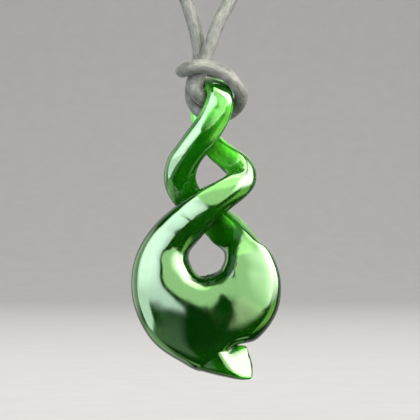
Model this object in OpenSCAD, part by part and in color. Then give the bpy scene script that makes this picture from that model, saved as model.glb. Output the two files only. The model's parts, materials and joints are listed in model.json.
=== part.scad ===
/* [Pendant] */
// Height of the carved stone, from the tail to the top of the loop
pendant_h = 55; // [55:1:70]
// Width of the carved stone across its round body
pendant_w = 27.4; // [27.4:0.2:32]
// Thickness of the carved stone, front to back
pendant_t = 10; // [10:0.2:12]
// Rings of facets from one section to the next
rings_per_section = 4; // [3:1:5]
// Facets round one section
section_facets = 32; // [24:4:36]

/* [Cord] */
// Diameter of the necklace cord
cord_d = 2.5; // [2:0.1:2.5]
// Facets round the cord
cord_facets = 8; // [8:1:12]

/* [Clasp] */
// Length of the barrel clasp at the back of the neck
clasp_l = 18; // [14:1:20]
// Diameter of the barrel clasp
clasp_d = 5; // [4.5:0.1:5.5]

/* [Hidden] */

// The origin is where the clasp rests on the back of the neck, with the clasp's axis this far behind it
clasp_axis = 2.5;

// The hitch that holds the pendant is at this point, and this high above the pendant's lowest point
hang_point = [0, -104, -190];
hang_height = 58;

// Width, thickness and height of the pendant that the tables of sections and of the hitch are drawn at
drawn = [27.4, 10, 55];

// The strand is one closed loop that turns over once on its way round. The first section is at the bottom,
// under the lower hole, and the loop runs up the left side. Each row is one section:
//   x, y, z     its middle, y pointing to the back
//   turn        direction of its width in the front view, degrees, 0 to the right
//   tilt        how far its width leans to the back, degrees
//   half        half of its width
//   far, near   thickness on the two faces: far is the back on the way up and the front on the way down
//   low         where the shoulder at the lower end of the width lies, in half widths
//   low_rim     height of that shoulder, as a share of the ridge
//   ridge       where the ridge between the two shoulders lies
//   high        where the shoulder at the upper end of the width lies
//   high_rim    height of that shoulder, as a share of the ridge
X = 0;
Y = 1;
Z = 2;
TURN = 3;
TILT = 4;
HALF = 5;
FAR = 6;
NEAR = 7;
LOW = 8;
LOW_RIM = 9;
RIDGE = 10;
HIGH = 11;
HIGH_RIM = 12;
STRAND = [
    // x,  y,    z,    turn, tilt, half, far, near, low, low_rim, ridge, high, high_rim
    [-0.1,  0.0, 10.3,   90,   0, 9.1, 4.2, 4.5, -0.84, 0.76,  0.50,  0.82, 0.88],
    [-3.3,  0.0, 11.3,   77,   0, 8.4, 4.2, 4.6, -0.84, 0.77,  0.32,  0.80, 0.88],
    [-6.3,  0.0, 13.7,   61,   0, 7.9, 4.2, 4.5, -0.82, 0.77,  0.20,  0.76, 0.86],
    [-8.2,  0.0, 17.4,   40,   0, 6.8, 4.2, 4.3, -0.78, 0.78,  0.05,  0.76, 0.84],
    [-8.5,  0.0, 20.9,   20,   0, 5.8, 4.1, 4.2, -0.76, 0.76,  0.05,  0.76, 0.82],
    [-7.5,  0.0, 24.1,    0,   0, 5.1, 4.0, 4.1, -0.78, 0.78,  0.05,  0.75, 0.80],
    [-5.3, -0.4, 27.2,  -21,   0, 4.4, 3.6, 3.9, -0.82, 0.80,  0.08,  0.73, 0.76],
    [-2.8, -1.2, 29.6,  -32,   0, 3.9, 3.1, 3.3, -0.84, 0.80,  0.12,  0.72, 0.76],
    [ 0.5, -2.2, 32.3,  -40,   0, 3.4, 2.6, 2.6, -0.82, 0.78,  0.30,  0.75, 0.75],
    [ 5.3, -1.8, 35.4,  -38,   0, 2.8, 2.6, 2.6, -0.80, 0.75,  0.10,  0.70, 0.75],
    [ 6.3, -0.4, 37.3,   -6,   0, 2.8, 2.6, 2.6, -0.40, 0.75,  0.25,  0.70, 0.75],
    [ 5.1,  1.2, 39.5,   17,   0, 2.8, 2.5, 2.7, -0.30, 0.75,  0.50,  0.75, 0.85],
    [ 2.1,  2.2, 42.0,   30,   0, 2.3, 2.4, 2.5, -0.20, 0.75,  0.55,  0.80, 0.85],
    [-0.4,  2.8, 45.0,   32,   0, 1.9, 2.1, 1.8, -0.60, 0.80,  0.30,  0.75, 0.80],
    [-1.3,  3.3, 48.6,   18,   0, 1.8, 1.7, 1.4, -0.60, 0.80,  0.00,  0.60, 0.80],
    [-1.1,  3.3, 51.1,   12,   8, 1.7, 1.7, 1.4, -0.60, 0.80,  0.00,  0.60, 0.80],
    [-0.2,  2.1, 52.9,    6,  20, 1.9, 1.7, 1.4, -0.65, 0.84,  0.00,  0.65, 0.84],
    [ 0.9,  0.2, 53.6,    0,  28, 2.1, 1.6, 1.4, -0.70, 0.82,  0.00,  0.70, 0.86],
    [ 1.7, -1.7, 53.2,   -6,  20, 2.2, 1.7, 1.4, -0.70, 0.80, -0.30,  0.70, 0.86],
    [ 2.2, -2.9, 52.4,  -12,   8, 2.5, 1.8, 1.4, -0.74, 0.80, -0.45,  0.70, 0.86],
    [ 2.4, -3.4, 51.0,  -16,   2, 2.6, 1.9, 1.4, -0.76, 0.82, -0.45,  0.68, 0.84],
    [ 2.0, -3.4, 49.4,  -19,   0, 2.7, 1.9, 1.4, -0.78, 0.80, -0.35,  0.64, 0.80],
    [ 1.1, -3.2, 47.4,  -21,   0, 2.8, 2.1, 1.6, -0.80, 0.78, -0.25,  0.60, 0.75],
    [-0.7, -2.7, 44.7,  -26,   0, 2.9, 2.4, 2.3, -0.80, 0.75, -0.20,  0.60, 0.75],
    [-2.7, -2.1, 42.1,  -20,   0, 2.9, 2.5, 2.5, -0.80, 0.75, -0.15,  0.60, 0.75],
    [-4.3, -1.4, 39.8,  -15,   0, 3.0, 2.6, 2.6, -0.80, 0.75, -0.10,  0.60, 0.75],
    [-5.0, -0.2, 37.1,   -4,   0, 3.0, 2.6, 2.6, -0.78, 0.75, -0.20,  0.65, 0.75],
    [-4.4,  1.1, 34.7,   11,   0, 3.0, 2.6, 2.6, -0.65, 0.75,  0.00,  0.65, 0.75],
    [-2.9,  2.1, 32.7,   22,   0, 3.0, 2.5, 2.5, -0.60, 0.75,  0.00,  0.60, 0.75],
    [ 0.2,  2.6, 30.3,   34, -10, 3.2, 2.4, 2.4,  0.30, 0.85,  0.60,  0.80, 0.85],
    [ 3.5,  2.0, 27.4,   37, -16, 3.5, 3.3, 2.9,  0.66, 0.95,  0.80,  0.90, 0.95],
    [ 6.3,  0.9, 24.5,   13, -10, 3.8, 3.9, 3.5, -0.30, 0.96,  0.00,  0.80, 0.90],
    [ 7.7,  0.2, 22.4,   -2,   0, 4.7, 4.1, 4.0, -0.70, 0.95, -0.50,  0.80, 0.84],
    [ 8.2,  0.0, 19.5,  -17,   0, 5.8, 4.2, 4.2, -0.74, 0.95, -0.50,  0.84, 0.74],
    [ 7.5,  0.0, 16.2,  -37,   0, 6.8, 4.3, 4.2, -0.78, 0.92, -0.45,  0.80, 0.74],
    [ 5.0,  0.0, 13.4,  -55,   0, 7.5, 4.4, 4.2, -0.78, 0.90, -0.42,  0.80, 0.74],
    [ 2.6,  0.0, 12.6,  -73,   0, 7.2, 4.4, 4.2, -0.80, 0.88, -0.45,  0.80, 0.76]
];
top_section = 17;

// The tail leaves the body at its lower left and runs along the bottom to its tip, with the same columns.
TAIL = [
    [-3.4,  0.0,  6.3,   66,   0, 3.4, 2.9, 2.9, -0.80, 0.80,  0.00,  0.80, 0.80],
    [-0.9,  0.0,  5.0,   72,   0, 3.4, 3.2, 3.2, -0.80, 0.86,  0.50,  0.80, 0.86],
    [ 1.7,  0.0,  4.0,   78,   0, 3.2, 3.4, 3.4, -0.80, 0.90,  0.60,  0.80, 0.90],
    [ 4.3,  0.0,  3.3,   82,   0, 3.1, 3.3, 3.5, -0.80, 0.94,  0.00,  0.15, 0.94],
    [ 6.5,  0.0,  3.0,   80,   0, 3.2, 2.8, 3.1, -0.85, 0.97, -0.60, -0.50, 0.97],
    [ 7.8,  0.0,  2.3,   92,   0, 2.3, 1.9, 2.2, -0.85, 0.98, -0.70, -0.55, 0.98],
    [ 8.3,  0.0,  1.6,   90,   0, 1.0, 1.0, 1.2, -0.80, 0.70, -0.40,  0.80, 0.70]
];

// Half height of the side of a section, as a share of its thickness, and how crisp its edges are
side_share = 0.3;
crispness = 12;

// How far to each side of a ring its direction is taken from, as a share of the way between two sections
look = 0.02;

function unit(v) = v / norm(v);

// A smooth curve through b and c, at the share t of the way from b to c, with the neighbours a and d
function through(a, b, c, d, t) =
    b + (c - a) * t / 2
    + (2 * a - 5 * b + 4 * c - d) * t * t / 2
    + (3 * b - a - 3 * c + d) * t * t * t / 2;

// A section turned over: its width points the other way, so its ends and its faces change places
function turned_over(r, by) = [
    r[X], r[Y], r[Z], r[TURN] + by, -r[TILT], r[HALF], r[NEAR], r[FAR],
    -r[HIGH], r[HIGH_RIM], -r[RIDGE], -r[LOW], r[LOW_RIM]
];

// Row i of the closed strand, which comes round turned over
function strand_row(i) =
    i < 0 ? turned_over(STRAND[i + len(STRAND)], 180)
    : i >= len(STRAND) ? turned_over(STRAND[i - len(STRAND)], -180)
    : STRAND[i];

function strand_at(t) =
    let (i = floor(t))
    through(strand_row(i - 1), strand_row(i), strand_row(i + 1), strand_row(i + 2), t - i);

function tail_row(i) = TAIL[max(0, min(len(TAIL) - 1, i))];

function tail_at(t) =
    let (i = min(floor(t), len(TAIL) - 2))
    through(tail_row(i - 1), tail_row(i), tail_row(i + 1), tail_row(i + 2), t - i);

function middle(r) = [r[X], r[Y], r[Z]];
function width_way(r) = [cos(r[TILT]) * cos(r[TURN]), sin(r[TILT]), cos(r[TILT]) * sin(r[TURN])];

// A straight edge of a section through two of its corners, as the numbers that give 1 on the edge
function edge(p, q) =
    let (n = [q[1] - p[1], p[0] - q[0]])
    n / (n * p);

// How far from its middle a section's outline lies in the direction d, in half widths and thicknesses
function reach(r, d) =
    let (
        shoulder_low = [r[LOW], r[LOW_RIM]],
        top = [r[RIDGE], 1],
        shoulder_high = [r[HIGH], r[HIGH_RIM]],
        edges = [
            edge([1, side_share], shoulder_high), edge(shoulder_high, top),
            edge(top, shoulder_low), edge(shoulder_low, [-1, side_share])
        ],
        up = [for (e = edges) max(0, e * d)],
        down = [for (e = edges) max(0, e * [d[0], -d[1]])],
        sides = [max(0, d[0]), max(0, -d[0])]
    )
    pow(total([for (g = concat(up, down, sides)) pow(g, crispness)]), -1 / crispness);

function total(list) = list * [for (item = list) 1];

function ring(r, ahead) =
    let (
        u = width_way(r),
        v = unit(cross(ahead, u))
    )
    [for (k = [0 : section_facets - 1])
        let (
            a = 360 * (k + 0.5) / section_facets,
            d = [cos(a), sin(a)],
            f = reach(r, d),
            thick = d[1] > 0 ? r[FAR] : r[NEAR]
        )
        middle(r) + u * (r[HALF] * f * d[0]) + v * (thick * f * d[1])];

// One closed solid through rings of equally many points
module skin(rings) {
    n = len(rings[0]);
    last = len(rings) - 1;
    points = [for (one = rings) each one];
    sides = [for (i = [0 : last - 1], k = [0 : n - 1])
        let (a = i * n + k, b = i * n + (k + 1) % n)
        each [[a, a + n, b + n], [a, b + n, b]]];
    start = [for (k = [0 : n - 1]) k];
    end = [for (k = [n - 1 : -1 : 0]) last * n + k];
    polyhedron(points, concat(sides, [start, end]), convexity = 10);
}

module strand(from, to) {
    step = 1 / rings_per_section;
    skin([for (t = [from : step : to + step / 2])
        ring(strand_at(t), middle(strand_at(t + look)) - middle(strand_at(t - look)))]);
}

module tail() {
    step = 1 / rings_per_section;
    last = len(TAIL) - 1;
    skin([for (t = [0 : step : last + step / 2])
        let (before = max(t - look, 0), after = min(t + look, last))
        ring(tail_at(min(t, last)), middle(tail_at(after)) - middle(tail_at(before)))]);
}

// The cord from the clasp round the right side of the neck to the hitch, from the origin
NECK_RIGHT = [
    [13, 2.5, 0], [30, 0, -2], [46, -11, -7], [56, -28, -15], [59, -48, -28], [55, -67, -46],
    [46, -83, -72], [34, -95, -106], [21, -102, -142], [12, -105, -164]
];

// The hitch on the top of the pendant, from the tail's lowest point: down beside the loop, through it to
// the right, up behind it, round both strands and back the same way
HITCH = [
    [4.3, -1.4, 69.1], [2.4, -1.8, 65.5], [1.0, -2.0, 61.8], [-0.3, -2.2, 58.3], [-1.2, -2.5, 55.8],
    [-1.9, -2.9, 53.8], [-1.9, -2.8, 52.3], [-1.2, -2.0, 51.3], [0.1, -0.8, 50.7], [1.6, 0.2, 50.7],
    [3.2, 1.4, 51.0], [4.6, 2.6, 51.8], [5.0, 3.6, 53.3], [4.3, 4.2, 55.0], [2.6, 4.5, 56.1],
    [0.4, 4.4, 56.6], [-2.1, 3.7, 56.8], [-4.0, 2.2, 56.5], [-4.5, -0.3, 56.2], [-4.0, -3.1, 56.3],
    [-2.4, -4.9, 56.7], [-0.1, -5.3, 56.7], [2.3, -5.3, 55.9], [4.3, -4.9, 54.6], [5.7, -3.9, 52.9],
    [6.2, -2.3, 51.4], [5.7, -0.7, 50.0], [4.6, 0.3, 48.9], [3.1, 0.6, 48.2], [1.5, 0.5, 48.0],
    [0.0, 0.4, 48.2], [-1.5, 0.5, 49.1], [-2.5, 0.5, 50.5], [-2.8, 0.0, 52.2], [-2.5, -0.1, 54.2],
    [-1.5, 0.3, 56.4], [-1.4, 0.4, 58.4],
    [-1.9, 0.0, 62.7], [-3.8, -0.4, 69.1]
];

// The cord from the hitch round the left side of the neck to the clasp, from the origin
NECK_LEFT = [
    [-9, -105, -164], [-18, -102, -142], [-33, -95, -106], [-46, -83, -72], [-55, -67, -46],
    [-59, -48, -28], [-56, -28, -15], [-46, -11, -7], [-30, 0, -2], [-13, 2.5, 0]
];

// Points of the cord's route this many diameters apart or more get one more point between them
far_apart = 3;

// How deep each end of the cord goes into the clasp, and the play round it there
socket_depth = 3;
play = 0.2;

// A point given on the drawn pendant, from its lowest point, brought to its place on the real one
stretch = [pendant_w / drawn[0], pendant_t / drawn[1], pendant_h / drawn[2]];
function at_pendant(p) =
    hang_point + [stretch[0] * p[0], stretch[1] * p[1], stretch[2] * (p[2] - hang_height)];

module pendant() {
    slab = [2 * drawn[0], drawn[1], 2 * drawn[2]];
    color("green")
    translate(at_pendant([0, 0, 0]))
    resize([pendant_w, pendant_t, pendant_h])
    intersection() {
        union() {
            strand(0, top_section);
            strand(top_section, len(STRAND));
            tail();
        }
        translate([-slab[0] / 2, -slab[1] / 2, -slab[2] / 4])
        cube(slab);
    }
}

// Rings of a tube round the points of a line, each turned as little as possible from the one before
function tube_rings(line, d) =
    let (
        last = len(line) - 1,
        ahead = [for (i = [0 : last]) unit(line[min(i + 1, last)] - line[max(i - 1, 0)])],
        side = [for (i = 0, u = across([0, 0, 1], ahead[0]); i <= last;
            i = i + 1, u = i <= last ? across(u, ahead[i]) : u) u]
    )
    [for (i = [0 : last])
        [for (k = [0 : cord_facets - 1])
            let (a = 360 * k / cord_facets)
            line[i] + d / 2 * (cos(a) * side[i] + sin(a) * cross(ahead[i], side[i]))]];

// The part of v that is square to the direction t, made 1 long
function across(v, t) = unit(v - (v * t) * t);

// The point halfway along the smooth curve from point i of a route to the next
function halfway(route, i) =
    let (last = len(route) - 1)
    through(route[max(i - 1, 0)], route[i], route[i + 1], route[min(i + 2, last)], 0.5);

// A finer line through the points of a route, with one more point between two that are far apart
function curve(route) =
    let (last = len(route) - 1)
    [for (i = [0 : last - 1])
        each norm(route[i + 1] - route[i]) < far_apart * cord_d ? [route[i]] : [route[i], halfway(route, i)],
        route[last]];

module cord() {
    end = clasp_l / 2 - socket_depth + play;
    hitch = [for (p = HITCH) at_pendant(p)];
    route = concat([[end, clasp_axis, 0]], NECK_RIGHT, hitch, NECK_LEFT, [[-end, clasp_axis, 0]]);
    color("dimgray")
    skin(tube_rings(curve(route), cord_d));
}

module clasp() {
    half = clasp_l / 2;
    radius = clasp_d / 2;
    edge_cut = 0.6;
    past_face = 1;
    color("silver")
    translate([0, clasp_axis, 0])
    rotate([0, 90, 0])
    difference() {
        rotate_extrude($fn = 48)
        polygon([
            [0, -half], [radius - edge_cut, -half], [radius, -half + edge_cut],
            [radius, half - edge_cut], [radius - edge_cut, half], [0, half]
        ]);
        for (end = [-1, 1])
            translate([0, 0, end * (half + (past_face - socket_depth) / 2)])
            cylinder(h = socket_depth + past_face, d = cord_d + 2 * play, center = true, $fn = 32);
    }
}

pendant();
cord();
clasp();
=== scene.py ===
"""A jade double twist pendant hitched on a round leather neck cord, with its clasp and a plain studio."""

import json
import math

import bmesh
import bpy
import numpy as np
from bpy.props import FloatProperty, FloatVectorProperty, IntProperty, PointerProperty
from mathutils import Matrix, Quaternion, Vector
from mathutils.bvhtree import BVHTree

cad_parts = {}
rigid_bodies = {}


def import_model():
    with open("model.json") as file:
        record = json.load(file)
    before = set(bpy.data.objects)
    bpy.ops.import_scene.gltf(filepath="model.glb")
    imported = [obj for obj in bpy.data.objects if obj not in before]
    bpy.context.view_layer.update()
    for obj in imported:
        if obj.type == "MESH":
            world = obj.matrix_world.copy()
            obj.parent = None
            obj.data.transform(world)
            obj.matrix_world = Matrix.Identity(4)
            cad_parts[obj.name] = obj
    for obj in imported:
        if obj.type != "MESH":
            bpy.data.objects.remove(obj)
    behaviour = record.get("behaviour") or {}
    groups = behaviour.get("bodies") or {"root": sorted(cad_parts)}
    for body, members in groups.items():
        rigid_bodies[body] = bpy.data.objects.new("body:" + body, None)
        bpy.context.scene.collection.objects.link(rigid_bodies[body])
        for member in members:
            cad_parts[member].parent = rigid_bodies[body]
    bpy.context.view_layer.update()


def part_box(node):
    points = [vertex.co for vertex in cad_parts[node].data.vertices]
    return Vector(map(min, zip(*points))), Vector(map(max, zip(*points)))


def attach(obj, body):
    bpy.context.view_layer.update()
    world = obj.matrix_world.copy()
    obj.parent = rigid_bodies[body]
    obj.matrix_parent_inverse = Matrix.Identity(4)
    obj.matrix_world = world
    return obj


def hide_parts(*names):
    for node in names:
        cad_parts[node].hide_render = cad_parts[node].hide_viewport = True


bl_info = {
    "name": "Jade Twist Pendant",
    "version": (1, 0, 0),
    "blender": (4, 5, 0),
    "location": "3D View > Sidebar > Twist Pendant",
    "description": "Makes a carved jade twist on a leather neck cord and the studio it hangs in",
    "category": "Add Mesh",
}

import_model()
STONE_LOW, STONE_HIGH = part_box("pendant")
CLASP_LOW, CLASP_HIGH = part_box("clasp")

MM = 0.001

# The point on the pendant that the hitch holds, its height above the pendant's lowest point, and the point
# below it that the pendant's own sizes are measured from, in mm
HANG_POINT = (0, -104, -190)
HANG_HEIGHT = 58
PENDANT_ZERO = (HANG_POINT[0], HANG_POINT[1], HANG_POINT[2] - HANG_HEIGHT)

# ---------------------------------------------------------------- the stone's sections

# One section a row, in mm and degrees. The strand is one closed loop that turns over once: from the
# bottom it runs up the left side, over the top at TOP_SECTION, and back down. The columns are the middle
# of the section (y to the back), the direction of its width in the front view, how far the width leans
# back, half the width, the thickness of its two faces (far is the back on the way up and the front on the
# way down), and where the low shoulder, the ridge and the high shoulder lie in half widths, with the height
# of each shoulder as a share of the ridge.
# x, y, z, turn, tilt, half, far, near, low, low_rim, ridge, high, high_rim
STRAND = np.array([
    [-0.1, 0.0, 10.3, 90, 0, 9.1, 4.2, 4.5, -0.84, 0.76, 0.50, 0.82, 0.88],
    [-3.3, 0.0, 11.3, 77, 0, 8.4, 4.2, 4.6, -0.84, 0.77, 0.32, 0.80, 0.88],
    [-6.3, 0.0, 13.7, 61, 0, 7.9, 4.2, 4.5, -0.82, 0.77, 0.20, 0.76, 0.86],
    [-8.2, 0.0, 17.4, 40, 0, 6.8, 4.2, 4.3, -0.78, 0.78, 0.05, 0.76, 0.84],
    [-8.5, 0.0, 20.9, 20, 0, 5.8, 4.1, 4.2, -0.76, 0.76, 0.05, 0.76, 0.82],
    [-7.5, 0.0, 24.1, 0, 0, 5.1, 4.0, 4.1, -0.78, 0.78, 0.05, 0.75, 0.80],
    [-5.3, -0.4, 27.2, -21, 0, 4.4, 3.6, 3.9, -0.82, 0.80, 0.08, 0.73, 0.76],
    [-2.8, -1.2, 29.6, -32, 0, 3.9, 3.1, 3.3, -0.84, 0.80, 0.12, 0.72, 0.76],
    [0.5, -2.2, 32.3, -40, 0, 3.4, 2.6, 2.6, -0.82, 0.78, 0.30, 0.75, 0.75],
    [5.3, -1.8, 35.4, -38, 0, 2.8, 2.6, 2.6, -0.80, 0.75, 0.10, 0.70, 0.75],
    [6.3, -0.4, 37.3, -6, 0, 2.8, 2.6, 2.6, -0.40, 0.75, 0.25, 0.70, 0.75],
    [5.1, 1.2, 39.5, 17, 0, 2.8, 2.5, 2.7, -0.30, 0.75, 0.50, 0.75, 0.85],
    [2.1, 2.2, 42.0, 30, 0, 2.3, 2.4, 2.5, -0.20, 0.75, 0.55, 0.80, 0.85],
    [-0.4, 2.8, 45.0, 32, 0, 1.9, 2.1, 1.8, -0.60, 0.80, 0.30, 0.75, 0.80],
    [-1.3, 3.3, 48.6, 18, 0, 1.8, 1.7, 1.4, -0.60, 0.80, 0.00, 0.60, 0.80],
    [-1.1, 3.3, 51.1, 12, 8, 1.7, 1.7, 1.4, -0.60, 0.80, 0.00, 0.60, 0.80],
    [-0.2, 2.1, 52.9, 6, 20, 1.9, 1.7, 1.4, -0.65, 0.84, 0.00, 0.65, 0.84],
    [0.9, 0.2, 53.6, 0, 28, 2.1, 1.6, 1.4, -0.70, 0.82, 0.00, 0.70, 0.86],
    [1.7, -1.7, 53.2, -6, 20, 2.2, 1.7, 1.4, -0.70, 0.80, -0.30, 0.70, 0.86],
    [2.2, -2.9, 52.4, -12, 8, 2.5, 1.8, 1.4, -0.74, 0.80, -0.45, 0.70, 0.86],
    [2.4, -3.4, 51.0, -16, 2, 2.6, 1.9, 1.4, -0.76, 0.82, -0.45, 0.68, 0.84],
    [2.0, -3.4, 49.4, -19, 0, 2.7, 1.9, 1.4, -0.78, 0.80, -0.35, 0.64, 0.80],
    [1.1, -3.2, 47.4, -21, 0, 2.8, 2.1, 1.6, -0.80, 0.78, -0.25, 0.60, 0.75],
    [-0.7, -2.7, 44.7, -26, 0, 2.9, 2.4, 2.3, -0.80, 0.75, -0.20, 0.60, 0.75],
    [-2.7, -2.1, 42.1, -20, 0, 2.9, 2.5, 2.5, -0.80, 0.75, -0.15, 0.60, 0.75],
    [-4.3, -1.4, 39.8, -15, 0, 3.0, 2.6, 2.6, -0.80, 0.75, -0.10, 0.60, 0.75],
    [-5.0, -0.2, 37.1, -4, 0, 3.0, 2.6, 2.6, -0.78, 0.75, -0.20, 0.65, 0.75],
    [-4.4, 1.1, 34.7, 11, 0, 3.0, 2.6, 2.6, -0.65, 0.75, 0.00, 0.65, 0.75],
    [-2.9, 2.1, 32.7, 22, 0, 3.0, 2.5, 2.5, -0.60, 0.75, 0.00, 0.60, 0.75],
    [0.2, 2.6, 30.3, 34, -10, 3.2, 2.4, 2.4, 0.30, 0.85, 0.60, 0.80, 0.85],
    [3.5, 2.0, 27.4, 37, -16, 3.5, 3.3, 2.9, 0.66, 0.95, 0.80, 0.90, 0.95],
    [6.3, 0.9, 24.5, 13, -10, 3.8, 3.9, 3.5, -0.30, 0.96, 0.00, 0.80, 0.90],
    [7.7, 0.2, 22.4, -2, 0, 4.7, 4.1, 4.0, -0.70, 0.95, -0.50, 0.80, 0.84],
    [8.2, 0.0, 19.5, -17, 0, 5.8, 4.2, 4.2, -0.74, 0.95, -0.50, 0.84, 0.74],
    [7.5, 0.0, 16.2, -37, 0, 6.8, 4.3, 4.2, -0.78, 0.92, -0.45, 0.80, 0.74],
    [5.0, 0.0, 13.4, -55, 0, 7.5, 4.4, 4.2, -0.78, 0.90, -0.42, 0.80, 0.74],
    [2.6, 0.0, 12.6, -70, 0, 7.3, 4.4, 4.2, -0.80, 0.88, -0.45, 0.84, 0.80],
])
TOP_SECTION = 17

# The tail leaves the body at its lower left and runs along the bottom to its tip, with the same columns
TAIL = np.array([
    [-3.4, 0.0, 6.3, 66, 0, 3.4, 2.9, 2.9, -0.80, 0.80, 0.00, 0.80, 0.80],
    [-0.9, 0.0, 5.0, 72, 0, 3.4, 3.4, 3.4, -0.80, 0.86, 0.50, 0.80, 0.86],
    [1.7, 0.0, 4.0, 78, 0, 3.2, 3.6, 3.6, -0.80, 0.90, 0.60, 0.86, 0.92],
    [4.3, 0.0, 3.3, 82, 0, 3.1, 3.3, 3.5, -0.80, 0.94, 0.00, 0.15, 0.94],
    [6.5, 0.0, 3.0, 80, 0, 3.2, 2.8, 3.1, -0.85, 0.97, -0.60, -0.50, 0.97],
    [7.8, 0.0, 2.3, 92, 0, 2.3, 1.9, 2.2, -0.85, 0.98, -0.70, -0.55, 0.98],
    [8.3, 0.0, 1.6, 90, 0, 1.0, 1.0, 1.2, -0.80, 0.70, -0.40, 0.80, 0.70],
])

SIDE_SHARE = 0.3  # half height of a section's side, as a share of its thickness
CRISPNESS = 12  # how crisp the edges between a section's faces are
SLAB_HALF = 5.0  # half the thickness of the flat slab that the stone was carved from, mm

# Points along each straight face of half a section, crowded towards its corners
FACE_POINTS = (3, 8, 13, 13, 8, 3)
NEARBY = 0.02  # a section faces along the line between points this far before and behind it, in sections

SHORTEST_EDGE = 0.03  # shorter edges are slivers that the joining leaves, mm
CREASE_ANGLE = -9  # edges that bend inwards by more are creases to be eased, degrees
SURFACE = 0.05  # rays start this far off the surface, mm
INWARD, OUTWARD = (0.9,), (0.7, 2.0)  # how far each ring of rays leans away from the normal, as a slope
RAYS = 6  # rays in a ring
THIN_DEPTH = 5.0  # how far light reaches through the stone, mm
OPEN_REACH = 8.0  # how near other parts of the stone shade a point, mm

# Where grinding marks are left, in mm from the stone's lowest point, and how far they reach
GRINDING = [
    (3.3, -1.0, 43.3, 1.6), (1.2, 1.0, 41.5, 1.8), (3.8, -0.8, 40.8, 2.0), (3.3, -1.0, 29.2, 1.6),
    (1.0, -0.5, 27.8, 1.4), (-2.4, -1.0, 36.5, 1.5), (-3.2, -2.0, 34.8, 1.2), (-1.8, -1.5, 26.6, 1.2),
    (0.2, -0.5, 19.2, 1.3),
]
# The way down the wall of the lower hole that is smooth, and whose reflection is turned down there as painted shade,
# in the same way
PAINTED_SHADE_WALL = [
    (3.8, -1.2, 29.5, 1.1), (4.7, -1.9, 28.2, 1.5), (5.1, -2.2, 26.9, 1.6), (4.7, -2.4, 25.5, 1.5),
    (4.4, -3.2, 23.6, 1.2), (4.4, -3.7, 22.2, 1.0), (4.2, -3.8, 20.7, 0.9), (3.5, -3.8, 19.5, 0.9),
    (2.4, -3.8, 18.4, 0.9), (1.1, -3.7, 17.9, 0.8), (-0.2, -3.5, 17.7, 0.8), (-1.4, -3.5, 18.1, 0.6),
]


def through(a, b, c, d, t):
    """A smooth curve through b and c, at the share t of the way between them."""
    return 0.5 * (2 * b + (c - a) * t + (2 * a - 5 * b + 4 * c - d) * t**2 + (3 * b - a - 3 * c + d) * t**3)


def turned_over(row, by):
    """The same section with its width pointing the other way, so its ends and faces change places."""
    x, y, z, turn, tilt, half, far, near, low, low_rim, ridge, high, high_rim = row
    return np.array([x, y, z, turn + by, -tilt, half, near, far, -high, high_rim, -ridge, -low, low_rim])


def strand_row(i):
    n = len(STRAND)
    if i < 0:
        return turned_over(STRAND[i + n], 180)
    return turned_over(STRAND[i - n], -180) if i >= n else STRAND[i]


def tail_row(i):
    return TAIL[max(0, min(len(TAIL) - 1, i))]


def section_at(row, t, last):
    i = min(math.floor(t), last - 1)
    return through(row(i - 1), row(i), row(i + 1), row(i + 2), t - i)


def outline(section):
    """A section's outline in half widths and thicknesses, as points that keep their place on each face."""
    low, low_rim, ridge, high, high_rim = section[8:]
    right, left = (1, SIDE_SHARE), (-1, SIDE_SHARE)
    shoulder_high, top, shoulder_low = (high, high_rim), (ridge, 1), (low, low_rim)

    def face(p, q):
        n = np.array([q[1] - p[1], p[0] - q[0]])
        return n / (n @ np.array(p))

    edges = (right, shoulder_high, top, shoulder_low, left)
    faces = np.array([face(p, q) for p, q in zip(edges, edges[1:])])
    upper = [(1, 0), *edges, (-1, 0)]
    lower = [(x, -y) for x, y in reversed(upper[:-1])]
    corners = np.array(upper + lower, float)
    points = np.array([
        p + (q - p) * (1 - math.cos(math.pi * i / n)) / 2
        for p, q, n in zip(corners, corners[1:], FACE_POINTS * 2)
        for i in range(n)
    ])
    reach = np.hstack([
        np.clip(points @ faces.T, 0, None),
        np.clip((points * (1, -1)) @ faces.T, 0, None),
        np.clip(points[:, :1] * (1, -1), 0, None),
    ])
    return points * (reach**CRISPNESS).sum(1)[:, None] ** (-1 / CRISPNESS)


def section_ring(section, ahead):
    """The points of one section in space, in mm."""
    turn, tilt = math.radians(section[3]), math.radians(section[4])
    across = np.array([math.cos(tilt) * math.cos(turn), math.sin(tilt), math.cos(tilt) * math.sin(turn)])
    up = np.cross(ahead, across)
    up /= np.linalg.norm(up)
    flat = outline(section)
    thick = np.where(flat[:, 1] > 0, section[6], section[7])
    return section[:3] + across * (section[5] * flat[:, :1]) + up * (thick * flat[:, 1])[:, None]


def sweep(row, start, stop, per_section, first, last):
    """The rings from one section to another."""
    rings = []
    for t in np.linspace(start, stop, round((stop - start) * per_section) + 1):
        before, after = (section_at(row, min(max(t + d, first), last), last)[:3] for d in (-NEARBY, NEARBY))
        rings.append(section_ring(section_at(row, t, last), after - before))
    return rings


# ---------------------------------------------------------------- the cord's route

# From the clasp round the right side of the neck, in mm
NECK_RIGHT = [
    (13, 2.5, 0), (30, 0, -2), (46, -11, -7), (56, -28, -15), (59, -48, -28), (55, -67, -46),
    (46, -83, -72), (34, -95, -106), (21, -102, -142), (12, -105, -164),
]
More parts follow.
